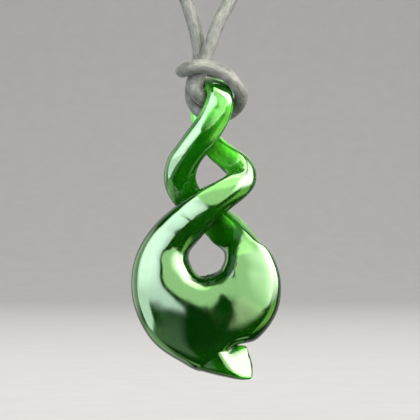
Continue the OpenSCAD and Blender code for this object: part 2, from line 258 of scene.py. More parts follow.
# The hitch, in mm from the pendant's lowest point: down beside the loop, through it to the right, up
# behind it, round both strands and back the same way
HITCH = [
    (4.3, -1.4, 69.1), (2.4, -1.8, 65.5), (1.0, -2.0, 61.8), (-0.3, -2.2, 58.3), (-1.2, -2.5, 55.8),
    (-1.9, -2.9, 53.8), (-1.9, -2.8, 52.3), (-1.2, -2.0, 51.3), (0.1, -0.8, 50.7), (1.6, 0.2, 50.7),
    (3.2, 1.4, 51.0), (4.6, 2.6, 51.8), (5.0, 3.6, 53.3), (4.3, 4.2, 55.0), (2.6, 4.5, 56.1), (0.4, 4.4, 56.6),
    (-2.1, 3.7, 56.8), (-4.0, 2.2, 56.5), (-4.5, -0.3, 56.2), (-4.0, -3.1, 56.3), (-2.4, -4.9, 56.7),
    (-0.1, -5.3, 56.7), (2.3, -5.3, 55.9), (4.3, -4.9, 54.6), (5.7, -3.9, 52.9), (6.2, -2.3, 51.4),
    (5.7, -0.7, 50.0), (4.6, 0.3, 48.9), (3.1, 0.6, 48.2), (1.5, 0.5, 48.0), (0.0, 0.4, 48.2), (-1.5, 0.5, 49.1),
    (-2.5, 0.5, 50.5), (-2.8, 0.0, 52.2), (-2.5, -0.1, 54.2), (-1.5, 0.3, 56.4), (-1.4, 0.4, 58.4),
    (-1.9, 0.0, 62.7), (-3.8, -0.4, 69.1),
]
# Round the left side of the neck to the clasp, in mm
NECK_LEFT = [
    (-9, -105, -164), (-18, -102, -142), (-33, -95, -106), (-46, -83, -72), (-55, -67, -46),
    (-59, -48, -28), (-56, -28, -15), (-46, -11, -7), (-30, 0, -2), (-13, 2.5, 0),
]
CORD_END = (6.2, 2.5, 0)
SHARP_BEND = 0.35  # where the cord bends by this much it has its deepest creases, radians per mm


def cord_route():
    """The points that the cord runs through, from end to end, in mm."""
    hitch = np.array(HITCH) + PENDANT_ZERO
    other_end = (-CORD_END[0], CORD_END[1], CORD_END[2])
    return np.array([CORD_END, *NECK_RIGHT, *hitch, *NECK_LEFT, other_end], float)


def smooth_line(route, near, far, fine_from):
    """Points along a smooth curve through a route, near mm apart below the height fine_from and far mm above."""
    last, parts = len(route) - 1, 40
    dense = [
        through(route[max(i - 1, 0)], route[i], route[i + 1], route[min(i + 2, last)], k / parts)
        for i in range(last)
        for k in range(parts)
    ]
    dense = np.array(dense + [route[last]])
    along = np.concatenate([[0], np.cumsum(np.linalg.norm(np.diff(dense, axis=0), axis=1))])
    stops, s = [], 0.0
    while s < along[-1] - 0.01:
        stops.append(s)
        z = np.interp(s, along, dense[:, 2])
        s += near if z < fine_from else far
    stops = np.array(stops + [along[-1]])
    line = np.stack([np.interp(stops, along, dense[:, k]) for k in range(3)], 1)
    return line, stops


# ---------------------------------------------------------------- the clasp's and the stage's numbers

# The groove where the clasp's two halves meet, and a narrower one near each end: its place, as a share of the
# length from the middle, and its width in mm
GROOVES = [(0, 0.5), (-0.36, 0.35), (0.36, 0.35)]

LOOKED_AT = (0.55, -104, -217.1)  # the middle of the camera's view, mm
SENSOR = 36  # the width of the camera's sensor, mm

# In metres: the paper's width and depth, the height of its wall, how far from their corner its bend starts
# and how far its middle is behind the neck
PAPER_WIDE, PAPER_HIGH, PAPER_BEND, PAPER_BACK = 9, 6, 1.5, 0.3

# Each lamp over the paper: name, place, the point that it faces, width and height in metres, and watts
PAPER_LIGHTS = [
    ("Background light", (0, 1.2, 2.4), (0, 4.0, 0), 3.0, 1.5, 52.0),
    ("Floor light", (0, 0.2, 2.6), (0, 0.2, 0), 4.0, 4.0, 90.0),
]

# Each softbox: name, azimuth and elevation of its middle from the camera's side, width and height as the
# pendant sees them and the turn of its edges, its radiance, its feather and its colour. Behind these come its
# flags, each with the azimuth and elevation of two points on its edge. All angles are in degrees. The stone
# mirrors the boxes, so their edges and flags are what draws the edges of the highlights on it.
SOFTBOXES = [
    ("Softbox left", -15.5, 8, 25, 36, 0, 6.3, 4, "#e4e6f2", (-2.5, -6.6, -14, 14)),
    ("Softbox left side", -52, -2, 56, 64, 0, 6.3, 4, "#e4e8ec", (-58, -33, -24, -14.5)),
    ("Softbox left high", -36, 11, 62, 36, 0, 3.8, 13, "#f0f0ff", (-2.5, -6.6, -14, 14)),
    ("Softbox above", 2, 24, 76, 80, 0, 4.4, 4, "#dcfac6", (2.5, -5, 23, -18), (-22, 13.5, 2.5, -5)),
    ("Softbox above high", -2, 44, 56, 48, 0, 3.2, 12, "#ccffa0"),
    ("Softbox front right", 25, -8, 32, 26, 0, 3.8, 4, "#eef4cc", (10, -14.5, 24, -19), (25.1, -14.6, 4.6, -1.6)),
    ("Softbox right", 62, 22, 104, 84, 0, 12.0, 32, "#fffdf6"),
    ("Softbox low right", 74, -28, 64, 38, 0, 2.2, 12, "#c8ff90"),
    ("Softbox low left", -30, -27, 56, 26, 18, 0.6, 9, "#e8ffe4"),
    ("Softbox far left", -106, 5, 74, 64, 0, 1.5, 14, "#e8ffe0"),
    ("Softbox low far left", -100, -44, 76, 46, 0, 1.6, 14, "#d4ffc4"),
    ("Softbox below", 0, -76, 60, 36, 0, 1.6, 10, "#d0ffb0"),
    ("Softbox top", 8, 78, 50, 50, 0, 7.0, 8, "#fffdf0"),
    ("Softbox behind", 158, 26, 44, 40, 0, 0.9, 12, "#9cf070"),
]


# ---------------------------------------------------------------- helpers


def linear(hex_colour):
    """An sRGB hex colour as the linear values that a shader reads."""
    parts = [int(hex_colour[i : i + 2], 16) / 255 for i in (1, 3, 5)]
    return tuple(c / 12.92 if c <= 0.04045 else ((c + 0.055) / 1.055) ** 2.4 for c in parts) + (1.0,)


def direction(azimuth, elevation):
    """The way from the pendant to a point, with both angles in degrees and zero towards the camera."""
    azimuth, elevation = math.radians(azimuth), math.radians(elevation)
    return Vector((
        math.sin(azimuth) * math.cos(elevation), -math.cos(azimuth) * math.cos(elevation), math.sin(elevation)
    ))


def select_only(*objects):
    """Object mode, with these objects selected and the first one active."""
    if bpy.context.object and bpy.context.object.mode != "OBJECT":
        bpy.ops.object.mode_set(mode="OBJECT")
    bpy.ops.object.select_all(action="DESELECT")
    for o in objects:
        o.select_set(True)
    bpy.context.view_layer.objects.active = objects[0]


def pick(piece, parts, passes):
    """In edit mode, selects those of a piece's verts, edges or faces that pass a test."""
    bpy.ops.mesh.select_all(action="DESELECT")
    form = bmesh.from_edit_mesh(piece.data)
    for part in getattr(form, parts):
        if passes(part):
            part.select_set(True)
    if parts == "verts":
        form.select_flush(True)
    bmesh.update_edit_mesh(piece.data)


def area_lamp(name, place, away, wide, high, roll=0):
    """A rectangular lamp at a place, facing the other way from away, with sizes in metres and roll in degrees."""
    bpy.ops.object.light_add(type="AREA", location=place)
    lamp = bpy.context.object
    lamp.name = lamp.data.name = name
    lamp.rotation_mode = "QUATERNION"
    lamp.rotation_quaternion = away.to_track_quat("Z", "Y") @ Quaternion((0, 0, 1), math.radians(roll))
    lamp.data.shape, lamp.data.size, lamp.data.size_y = "RECTANGLE", wide, high
    lamp.visible_camera = False
    return lamp


def tube(name, rings):
    """A skin of quads over rings of equally many points, in mm, with a face over each end."""
    n = len(rings[0])
    points = np.concatenate(rings) * MM
    faces = [
        (i * n + k, i * n + (k + 1) % n, (i + 1) * n + (k + 1) % n, (i + 1) * n + k)
        for i in range(len(rings) - 1)
        for k in range(n)
    ]
    faces += [tuple(range(n - 1, -1, -1)), tuple(range(len(points) - n, len(points)))]
    mesh = bpy.data.meshes.new(name)
    mesh.from_pydata([tuple(p) for p in points], [], faces)
    if mesh.validate():
        raise RuntimeError(f"{name} has faces that Blender can't keep")
    made = bpy.data.objects.new(name, mesh)
    bpy.context.scene.collection.objects.link(made)
    return made


def points_of(piece):
    """The points of a piece, one a row, in metres."""
    points = np.empty(len(piece.data.vertices) * 3)
    piece.data.vertices.foreach_get("co", points)
    return points.reshape(-1, 3)


def write_values(piece, name, values):
    """Writes one number for each point of a piece, for its material to read."""
    layer = piece.data.attributes.new(name, "FLOAT", "POINT")
    layer.data.foreach_set("value", values)


def apply_boolean(piece, other, operation):
    """Joins other to the piece or cuts the piece to it, and removes other."""
    select_only(piece)
    cut = piece.modifiers.new("Carve", "BOOLEAN")
    cut.operation, cut.object, cut.solver = operation, other, "MANIFOLD"
    bpy.ops.object.modifier_apply(modifier=cut.name)
    bpy.data.objects.remove(other)
    if not piece.data.polygons:
        raise RuntimeError(f"{piece.name} was lost when it was carved")


def finish_piece(piece, material, node):
    """Gives a piece its material and material slot, hangs it on the root body and hides the CAD node that it stands
    for.
    """
    piece.data.materials.clear()
    piece.data.materials.append(material)
    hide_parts(node)
    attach(piece, "root")


def add_node(tree, kind, inputs=None, stops=(), out=0, **settings):
    """Adds a shader node with its settings, and returns its first output or the one that out names.

    An input is a value, or the output that it is linked to. The stops of a colour ramp are positions, in
    rising order, with linear colours.
    """
    made = tree.nodes.new("ShaderNode" + kind)
    for name, value in settings.items():
        setattr(made, name, value)
    for name, value in (inputs or {}).items():
        socket = made.inputs[name]
        if isinstance(value, bpy.types.NodeSocket):
            tree.links.new(value, socket)
        else:
            socket.default_value = value
    if stops:
        made.color_ramp.interpolation = "EASE"
    for i, (position, colour) in enumerate(stops):
        elements = made.color_ramp.elements
        stop = elements[i] if i < len(elements) else elements.new(position)
        stop.position, stop.color = position, colour
    return made.outputs[out]


def new_material(name):
    """An empty material, and its shader and tree."""
    material = bpy.data.materials.new(name)
    material.use_nodes = True
    tree = material.node_tree
    return material, tree, tree.nodes["Principled BSDF"]


# ---------------------------------------------------------------- materials


def polished_nephrite(looks):
    """Nephrite jade, ground and waxed to a mirror polish: light sinks into it and comes back deep green."""
    material, tree, shader = new_material("Polished nephrite jade")
    place = add_node(tree, "TexCoord", out="Object")
    cloud_scale = 1 / (looks.cloud_size * MM)
    clouds = add_node(
        tree, "TexNoise",
        {"Vector": place, "Scale": cloud_scale, "Detail": 4.0, "Roughness": 0.55, "Distortion": 0.6},
    )
    # Painted glow: thin parts are painted a lighter green for the light that comes through them, and the thickest
    # parts are painted darkest
    thin = add_node(tree, "Attribute", attribute_name="thin", out="Fac")
    tone = add_node(tree, "Math", {0: clouds, 1: 0.35, 2: -0.22}, operation="MULTIPLY_ADD")
    tone = add_node(tree, "Math", {0: thin, 1: 1.7, 2: tone}, operation="MULTIPLY_ADD")
    stops = [(0.15, looks.dark), (0.32, looks.body), (0.6, looks.light), (0.95, looks.glow)]
    colour = add_node(tree, "ValToRGB", {"Fac": tone}, stops)
    tree.links.new(colour, shader.inputs["Base Color"])
    # Green light goes deepest into the stone, about 2.5 mm
    shader.inputs["Subsurface Weight"].default_value = looks.depth
    shader.inputs["Subsurface Radius"].default_value = (0.5, 1.0, 0.3)
    shader.inputs["Subsurface Scale"].default_value = 2.5 * MM
    shader.inputs["IOR"].default_value = 1.62
    # Painted shade: the mirror reflection and the wax coat are turned down where nearby parts of the stone close a
    # point in, as in the crossings, and along the wall of the lower hole. They also fade where the wheel has left no
    # polish
    opened = add_node(tree, "Attribute", attribute_name="open", out="Fac")
    polish = add_node(
        tree, "MapRange",
        {"Value": opened, "From Min": 0.6, "From Max": 0.92, "To Min": 0.08, "To Max": 1.0},
    )
    marks = add_node(tree, "Attribute", attribute_name="tool_marks", out="Fac")
    # Dull grinding marks and the painted shade along the wall of the lower hole, from 0 to 1
    matt = add_node(tree, "Attribute", attribute_name="unpolished", out="Fac")
    kept = add_node(tree, "Math", {0: matt, 1: -0.95, 2: 1.0}, operation="MULTIPLY_ADD")
    polish = add_node(tree, "Math", {0: polish, 1: kept}, operation="MULTIPLY")
    tree.links.new(polish, shader.inputs["Specular IOR Level"])
    shader.inputs["Specular Tint"].default_value = linear("#d8ffd4")
    coat = add_node(tree, "Math", {0: polish, 1: 0.2}, operation="MULTIPLY")
    tree.links.new(coat, shader.inputs["Coat Weight"])
    shader.inputs["Coat Roughness"].default_value = 0.04
    # Hand polishing leaves faint smears, 2 to 3 mm across, that are duller than the rest
    smears = add_node(tree, "TexNoise", {"Vector": place, "Scale": 420.0, "Detail": 2.0, "Roughness": 0.5})
    dull = add_node(
        tree, "MapRange",
        {"Value": smears, "From Min": 0.35, "From Max": 0.75, "To Min": 0.05, "To Max": 0.12},
    )
    rough = add_node(tree, "Math", {0: marks, 1: 0.5, 2: dull}, operation="MULTIPLY_ADD")
    tree.links.new(rough, shader.inputs["Roughness"])
    # Grinding marks are left where the wheel couldn't reach, in the crossings, about 0.7 mm apart
    gouges = add_node(tree, "TexVoronoi", {"Vector": place, "Scale": 1500.0, "Randomness": 1.0})
    cut = add_node(tree, "Math", {0: gouges, 1: marks}, operation="MULTIPLY")
    gouge_bump = add_node(tree, "Bump", {"Height": cut, "Strength": 0.6, "Distance": 0.2 * MM})
    # The flats left by the wheel undulate slightly, over 5 mm or so
    waves = add_node(tree, "TexNoise", {"Vector": place, "Scale": 1 / (5 * MM), "Detail": 1.0})
    wave_bump = add_node(
        tree, "Bump", {"Height": waves, "Strength": 0.25, "Distance": 0.15 * MM, "Normal": gouge_bump}
    )
    tree.links.new(wave_bump, shader.inputs["Normal"])
    return material


def grey_leather(looks):
    """Round leather cord, drum-dyed grey and rubbed: matt, with fine fibres and creases where it bends."""
    material, tree, shader = new_material("Grey dyed leather cord")
    wrap = add_node(tree, "UVMap", uv_map="Wrap")
    place = add_node(tree, "TexCoord", out="Object")
    bend = add_node(tree, "Attribute", attribute_name="bend", out="Fac")
    # The dye takes unevenly over a few millimetres, and the grain is pores about 0.3 mm apart
    dye = add_node(tree, "TexNoise", {"Vector": place, "Scale": 350.0, "Detail": 5.0, "Roughness": 0.65})
    stops = [(0.3, looks.cord_dark), (0.52, looks.cord_body), (0.75, looks.cord_light)]
    colour = add_node(tree, "ValToRGB", {"Fac": dye}, stops)
    pores = add_node(tree, "TexVoronoi", {"Vector": place, "Scale": 1 / (looks.grain * MM), "Randomness": 1.0})
    # Pulling the cord through a die leaves streaks of fibre along it, 0.15 mm wide and 1.4 mm long
    drawn = add_node(tree, "Mapping", {"Vector": wrap, "Scale": (6500.0, 700.0, 1.0)})
    fibres = add_node(
        tree, "TexNoise", {"Vector": drawn, "Scale": 1.0, "Detail": 3.0, "Roughness": 0.6},
        noise_dimensions="2D",
    )
    # Pores and the gaps between fibres are darker. Sockets 6 and 7 of a Mix node are its two colours, and
    # output 2 is the mixed one
    for share, pattern, start, dark in ((0.35, pores, 0.0, "#b8b6b0"), (0.8, fibres, 0.38, "#8f8c8e")):
        stops = [(start, linear(dark)), (0.6, linear("#ffffff"))]
        tone = add_node(tree, "ValToRGB", {"Fac": pattern}, stops)
        colour = add_node(
            tree, "Mix", {0: share, 6: colour, 7: tone}, data_type="RGBA", blend_type="MULTIPLY", out=2
        )
    tree.links.new(colour, shader.inputs["Base Color"])
    shader.inputs["Roughness"].default_value = 0.52
    shader.inputs["Specular IOR Level"].default_value = 0.45
    shader.inputs["Sheen Weight"].default_value = 0.1
    shader.inputs["Sheen Roughness"].default_value = 0.5
    # Creases run round the cord where it is bent hard, 0.5 mm apart
    stretched = add_node(tree, "Mapping", {"Vector": wrap, "Scale": (120.0, 2200.0, 1.0)})
    creases = add_node(tree, "TexNoise", {"Vector": stretched, "Scale": 1.0, "Detail": 2.0}, noise_dimensions="2D")
    crease_depth = add_node(tree, "Math", {0: creases, 1: bend}, operation="MULTIPLY")
    crease_bump = add_node(tree, "Bump", {"Height": crease_depth, "Strength": 1.0, "Distance": 0.25 * MM})
    grain_bump = add_node(
        tree, "Bump", {"Height": pores, "Strength": 0.5, "Distance": 0.06 * MM, "Normal": crease_bump}
    )
    fibre_bump = add_node(
        tree, "Bump", {"Height": dye, "Strength": 0.5, "Distance": 0.12 * MM, "Normal": grain_bump}
    )
    tree.links.new(fibre_bump, shader.inputs["Normal"])
    return material


def brushed_steel(looks):
    """Stainless steel, turned and brushed round its length: bright and satin, with fine rings."""
    material, tree, shader = new_material("Brushed stainless steel")
    place = add_node(tree, "TexCoord", out="Object")
    # Brushing rings about 0.15 mm apart along the barrel
    drawn = add_node(tree, "Mapping", {"Vector": place, "Scale": (6500.0, 180.0, 180.0)})
    rings = add_node(tree, "TexNoise", {"Vector": drawn, "Scale": 1.0, "Detail": 3.0})
    stops = [(0.3, looks.hollows), (0.7, looks.steel)]
    colour = add_node(tree, "ValToRGB", {"Fac": rings}, stops)
    tree.links.new(colour, shader.inputs["Base Color"])
    rough = add_node(
        tree, "MapRange",
        {"Value": rings, "From Min": 0.3, "From Max": 0.7, "To Min": 0.22, "To Max": 0.38},
    )
    tree.links.new(rough, shader.inputs["Roughness"])
    shader.inputs["Metallic"].default_value = 1.0
    bump = add_node(tree, "Bump", {"Height": rings, "Strength": 0.4, "Distance": 0.02 * MM})
    tree.links.new(bump, shader.inputs["Normal"])
    return material


def studio_paper():
    """Seamless background paper, matt and a little warm."""
    material, tree, shader = new_material("Seamless studio paper")
    place = add_node(tree, "TexCoord", out="Object")
    # The pulp is mottled faintly, over 25 mm or so
    pulp = add_node(tree, "TexNoise", {"Vector": place, "Scale": 1 / (25 * MM), "Detail": 6.0})
    stops = [(0.3, linear("#e2e0dd")), (0.7, linear("#e5e3e0"))]
    colour = add_node(tree, "ValToRGB", {"Fac": pulp}, stops)
    tree.links.new(colour, shader.inputs["Base Color"])
    shader.inputs["Roughness"].default_value = 0.9
    return material


# ---------------------------------------------------------------- settings


def colour_setting(name, description, hex_colour):
    """A colour that a user can change, with its default as sRGB hex."""
    return FloatVectorProperty(
        name=name, description=description, subtype="COLOR", size=4, min=0.0, max=1.0, default=linear(hex_colour)
    )


class TWIST_PG_Stone(bpy.types.PropertyGroup):
    rings: IntProperty(
        name="Rings", description="Rings of points from one section to the next", default=16, min=4, max=18
    )
    dark: colour_setting("Dark", "Colour of the thickest parts", "#001400")
    body: colour_setting("Body", "Colour of most of the body", "#031f00")
    light: colour_setting("Light", "Colour of the strands", "#063301")
    glow: colour_setting("Glow", "Colour of the thinnest parts", "#46a526")
    cloud_size: FloatProperty(
        name="Clouds", description="Size of the clouds in the stone, mm", default=9.0, min=1.0, max=40.0
    )
    depth: FloatProperty(
        name="Depth", description="Share of the light that sinks into the stone", default=0.35, min=0.0, max=1.0
    )


class TWIST_PG_Cord(bpy.types.PropertyGroup):
    diameter: FloatProperty(name="Diameter", description="Diameter of the cord, mm", default=2.5, min=2.0, max=2.5)
    sides: IntProperty(name="Sides", description="Sides of the cord's tube", default=28, min=8, max=48)
    cord_dark: colour_setting("Dark", "Colour of the darkest dye", "#343134")
    cord_body: colour_setting("Body", "Colour of most of the cord", "#504c50")
    cord_light: colour_setting("Light", "Colour of the palest dye", "#6a6560")
    grain: FloatProperty(name="Grain", description="Size of the leather's grain, mm", default=0.28, min=0.1, max=1.0)


class TWIST_PG_Clasp(bpy.types.PropertyGroup):
    steel: colour_setting("Steel", "Colour of the metal", "#b3b2ae")
    hollows: colour_setting("Hollows", "Colour of the metal between the brushing rings", "#8f8e8b")
    socket: FloatProperty(
        name="Socket", description="Radius of the socket in each end, mm", default=1.45, min=1.3, max=1.6
    )
    socket_depth: FloatProperty(
        name="Socket depth", description="Depth of the socket in each end, mm", default=3.0, min=1.0, max=3.0
    )
    groove: FloatProperty(name="Groove", description="Depth of the grooves, mm", default=0.25, min=0.1, max=0.5)
    edge: FloatProperty(name="Edge", description="Width of the rounded edges, mm", default=0.28, min=0.1, max=0.4)


class TWIST_PG_Stage(bpy.types.PropertyGroup):
    distance: FloatProperty(name="Distance", description="Camera to pendant", default=0.45, unit="LENGTH")
    width: FloatProperty(
        name="Width", description="Width that the camera sees at the pendant", default=0.0764, unit="LENGTH"
    )
    floor: FloatProperty(name="Floor", description="Height of the floor", default=-0.36, unit="LENGTH")
    light: FloatProperty(name="Light", description="Brightness of the softboxes", default=1.0, min=0.0, max=10.0)


# ---------------------------------------------------------------- operators


class TWIST_OT_stone(bpy.types.Operator):
    """Carves the twisted strand and its tail as one stone"""

    bl_idname = "twist.stone"
    bl_label = "Carve the stone"

    def execute(self, context):
        looks = context.scene.twist_stone
        count = len(STRAND)
        rising = sweep(strand_row, 0, TOP_SECTION, looks.rings, -1, count + 1)
        falling = sweep(strand_row, TOP_SECTION, count, looks.rings, -1, count + 1)
        # The loop closes with a half turn, so its last ring is the first one turned over
        half_turn = len(rising[0]) // 2
        falling[0] = rising[-1].copy()
        falling[-1] = np.roll(rising[0], -half_turn, axis=0)
        stone = tube("Twist_stone", rising)
        apply_boolean(stone, tube("Falling strand", falling), "UNION")
        tail = sweep(tail_row, 0, len(TAIL) - 1, looks.rings, 0, len(TAIL) - 1)
        apply_boolean(stone, tube("Tail", tail), "UNION")
        bpy.ops.mesh.primitive_cube_add(size=1, location=(0, 0, 27 * MM), scale=(0.1, 2 * SLAB_HALF * MM, 0.1))
        slab = context.object
        bpy.ops.object.transform_apply(location=True, rotation=True, scale=True)
        apply_boolean(stone, slab, "INTERSECT")
        self.fit_to_cad(stone)
        self.ease_creases(stone)
        self.mark_grinding(stone)
        self.measure_light(stone)
        select_only(stone)
        bpy.ops.object.shade_smooth_by_angle(angle=math.radians(50))
        finish_piece(stone, polished_nephrite(looks), "pendant")
        return {"FINISHED"}

    @staticmethod
    def fit_to_cad(stone):
        """Brings the stone's own box onto the box of its CAD solid."""
        points = points_of(stone)
        low, high = points.min(0), points.max(0)
        share = (points - low) / (high - low)
        points = np.array(STONE_LOW) + share * (np.array(STONE_HIGH) - np.array(STONE_LOW))
        stone.data.vertices.foreach_set("co", points.ravel())
        stone.data.update()

    @staticmethod
    def ease_creases(stone):
        """Rounds the crevices where two strands meet, as a grinding wheel leaves them."""
        select_only(stone)
        bpy.ops.object.mode_set(mode="EDIT")
        bpy.ops.mesh.select_mode(type="VERT")
        bpy.ops.mesh.select_all(action="SELECT")
        bpy.ops.mesh.dissolve_degenerate(threshold=SHORTEST_EDGE * MM)
        bpy.ops.mesh.delete_loose()
        # Slivers that came off where the two halves of the strand meet
        lowest = min(point.co.z for point in bmesh.from_edit_mesh(stone.data).verts)
        pick(stone, "verts", lambda point: point.co.z == lowest)
        bpy.ops.mesh.select_linked()
        bpy.ops.mesh.select_all(action="INVERT")
        bpy.ops.mesh.delete(type="VERT")
        sharpest = math.radians(CREASE_ANGLE)
        pick(stone, "verts", lambda point: any(
            edge.is_manifold and edge.calc_face_angle_signed() < sharpest for edge in point.link_edges
        ))
        bpy.ops.mesh.vertices_smooth(factor=0.5, repeat=6)
        bpy.ops.object.mode_set(mode="OBJECT")

    @staticmethod
    def mark_grinding(stone):
        """Writes where grinding marks show, and where the reflection is turned down for dull grinding marks and for
        painted shade along the wall of the lower hole, from 0 to 1, in two attributes.
        """
        points = points_of(stone) / MM - PENDANT_ZERO
        wall = np.array(PAINTED_SHADE_WALL)
        steps = np.linspace(0, len(wall) - 1, 8 * len(wall))
        wall = np.stack([np.interp(steps, range(len(wall)), column) for column in wall.T], 1)
        for name, places in (("tool_marks", GRINDING), ("unpolished", [*GRINDING, *wall])):
            marks = np.zeros(len(points))
            for x, y, z, size in places:
                # Marks are full up to 0.8 of their reach and gone at 1.2 of it
                away = np.linalg.norm(points - (x, y, z), axis=1) / size
                marks = np.maximum(marks, np.clip((1.2 - away) * 2.5, 0, 1))
            write_values(stone, name, marks)

    @staticmethod
    def measure_light(stone):
        """Writes how thin and how open the stone is at each point, from 0 to 1, in the attributes thin and open."""
        form = bmesh.new()
        form.from_mesh(stone.data)
        form.normal_update()
        solid = BVHTree.FromBMesh(form)

        def depths(point, axis, slopes):
            side = axis.orthogonal().normalized()
            for slope in slopes:
                for turn in range(RAYS):
                    way = axis + slope * (Quaternion(axis, turn * 2 * math.pi / RAYS) @ side)
                    yield solid.ray_cast(point + axis * SURFACE * MM, way.normalized())[3]

        values = np.empty((len(form.verts), 2))
        for at, point in enumerate(form.verts):
            inside = [deep for deep in depths(point.co, -point.normal, INWARD) if deep is not None]
            thin = sum(math.exp(-deep / THIN_DEPTH / MM) for deep in inside) / max(len(inside), 1)
            ahead = [deep for deep in depths(point.co, point.normal, OUTWARD) if deep is not None]
            shade = sum(math.exp(-deep / OPEN_REACH / MM) for deep in ahead) / (RAYS * len(OUTWARD))
            values[at] = thin, 1 - shade
        ends = np.array([[corner.index for corner in edge.verts] for edge in form.edges])
        form.free()
        # A few rays each give a rough value, so it is averaged with the points round it
        for _ in range(3):
            total, count = values.copy(), np.ones((len(values), 1))
            for here, there in (ends.T, ends.T[::-1]):
                np.add.at(total, here, values[there])
                np.add.at(count, here, 1)
            values = total / count
        for name, column in zip(("thin", "open"), values.T):
            write_values(stone, name, column.copy())


class TWIST_OT_cord(bpy.types.Operator):
    """Lays the leather cord round the neck and through the hitch"""

    bl_idname = "twist.cord"
    bl_label = "Tie the cord"

    def execute(self, context):
        looks = context.scene.twist_cord
        line, along = smooth_line(cord_route(), near=0.2, far=1.6, fine_from=-170)
        sides = looks.sides
        ahead = np.gradient(line, along, axis=0)
        ahead /= np.linalg.norm(ahead, axis=1)[:, None]
        bend = np.linalg.norm(np.gradient(ahead, along, axis=0), axis=1)
        for _ in range(6):
            bend = np.convolve(np.pad(bend, 1, mode="edge"), (0.25, 0.5, 0.25), mode="valid")
        across = np.zeros_like(line)
        v = np.array([0.0, 0.0, 1.0])
        for i, t in enumerate(ahead):
            v = v - (v @ t) * t
            v /= np.linalg.norm(v)
            across[i] = v
        up = np.cross(ahead, across)
        turns = 2 * math.pi * np.arange(sides) / sides
        radius = looks.diameter / 2
        rings = [
            line[i] + radius * (np.cos(turns)[:, None] * across[i] + np.sin(turns)[:, None] * up[i])
            for i in range(len(line))
        ]
        cord = tube("Neck_cord", rings)
        self.wrap(cord, along, sides, radius)
        write_values(cord, "bend", np.repeat(np.clip(bend / SHARP_BEND, 0, 1) ** 2, sides))
        select_only(cord)
        bpy.ops.object.shade_smooth_by_angle(angle=math.radians(60))
        finish_piece(cord, grey_leather(looks), "cord")
        return {"FINISHED"}

    @staticmethod
    def wrap(cord, along, sides, radius):
        """A UV map in metres: round the cord, and along it."""
        layer = cord.data.uv_layers.new(name="Wrap")
        round_it = 2 * math.pi * radius * MM
        for face in cord.data.polygons:
            places = [v % sides for v in face.vertices]
            seam = len(places) == 4 and max(places) - min(places) > 1
            for corner, v, k in zip(face.loop_indices, face.vertices, places):
                if seam and k == 0:
                    k = sides
                layer.data[corner].uv = (k / sides * round_it, along[v // sides] * MM)


class TWIST_OT_clasp(bpy.types.Operator):
    """Turns the barrel clasp at the back of the neck"""

    bl_idname = "twist.clasp"
    bl_label = "Turn the clasp"

    def execute(self, context):
        looks = context.scene.twist_clasp
        length = CLASP_HIGH.x - CLASP_LOW.x
        radius = (CLASP_HIGH.z - CLASP_LOW.z) / 2
        middle = (CLASP_LOW + CLASP_HIGH) / 2
        bpy.ops.mesh.primitive_cylinder_add(
            vertices=96, radius=radius, depth=length, end_fill_type="NGON",
            location=middle, rotation=(0, math.radians(90), 0),
        )
        clasp = context.object
        clasp.name = clasp.data.name = "Barrel_clasp"
        bpy.ops.object.transform_apply(location=True, rotation=True, scale=True)
        bpy.ops.object.mode_set(mode="EDIT")
        bpy.ops.mesh.select_mode(type="FACE")
        # A socket in each end for the cord
        pick(clasp, "faces", lambda face: abs(face.normal.x) > 0.9)
        bpy.ops.mesh.inset(thickness=radius - looks.socket * MM, use_individual=True)
        for end in (1, -1):
            pick(clasp, "faces", lambda face: face.normal.x * end > 0.9 and len(face.verts) > 4)
            bpy.ops.mesh.extrude_region_move(
                TRANSFORM_OT_translate={"value": (-end * looks.socket_depth * MM, 0, 0)}
            )
        for place, wide in GROOVES:
            groove_middle = middle + Vector((place * length, 0, 0))
            self.cut_groove(clasp, groove_middle, wide * MM, looks.groove * MM, radius)
        bpy.ops.object.mode_set(mode="OBJECT")
        soften = clasp.modifiers.new("Turned edges", "BEVEL")
        soften.width, soften.segments, soften.limit_method = looks.edge * MM, 3, "ANGLE"
        soften.angle_limit = math.radians(40)
        soften.use_clamp_overlap = True
        select_only(clasp)
        bpy.ops.object.modifier_apply(modifier=soften.name)
        bpy.ops.object.shade_smooth_by_angle(angle=math.radians(35))
        finish_piece(clasp, brushed_steel(looks), "clasp")
        return {"FINISHED"}

    @staticmethod
    def cut_groove(clasp, middle, wide, deep, radius):
        """Cuts a groove round the barrel between two bisecting planes."""

        def on_barrel(face):
            off = face.calc_center_median() - middle
            return math.hypot(off.y, off.z) > radius * 0.9 and abs(face.normal.x) < 0.1

        for side in (-wide / 2, wide / 2):
            pick(clasp, "faces", on_barrel)
            bpy.ops.mesh.bisect(plane_co=(middle.x + side, 0, 0), plane_no=(1, 0, 0))
        pick(clasp, "faces", lambda face: on_barrel(face) and abs(face.calc_center_median().x - middle.x) < wide / 2)
        bpy.ops.mesh.extrude_region_move()
        shrink = 1 - deep / radius
        bpy.ops.transform.resize(value=(1, shrink, shrink), center_override=middle)


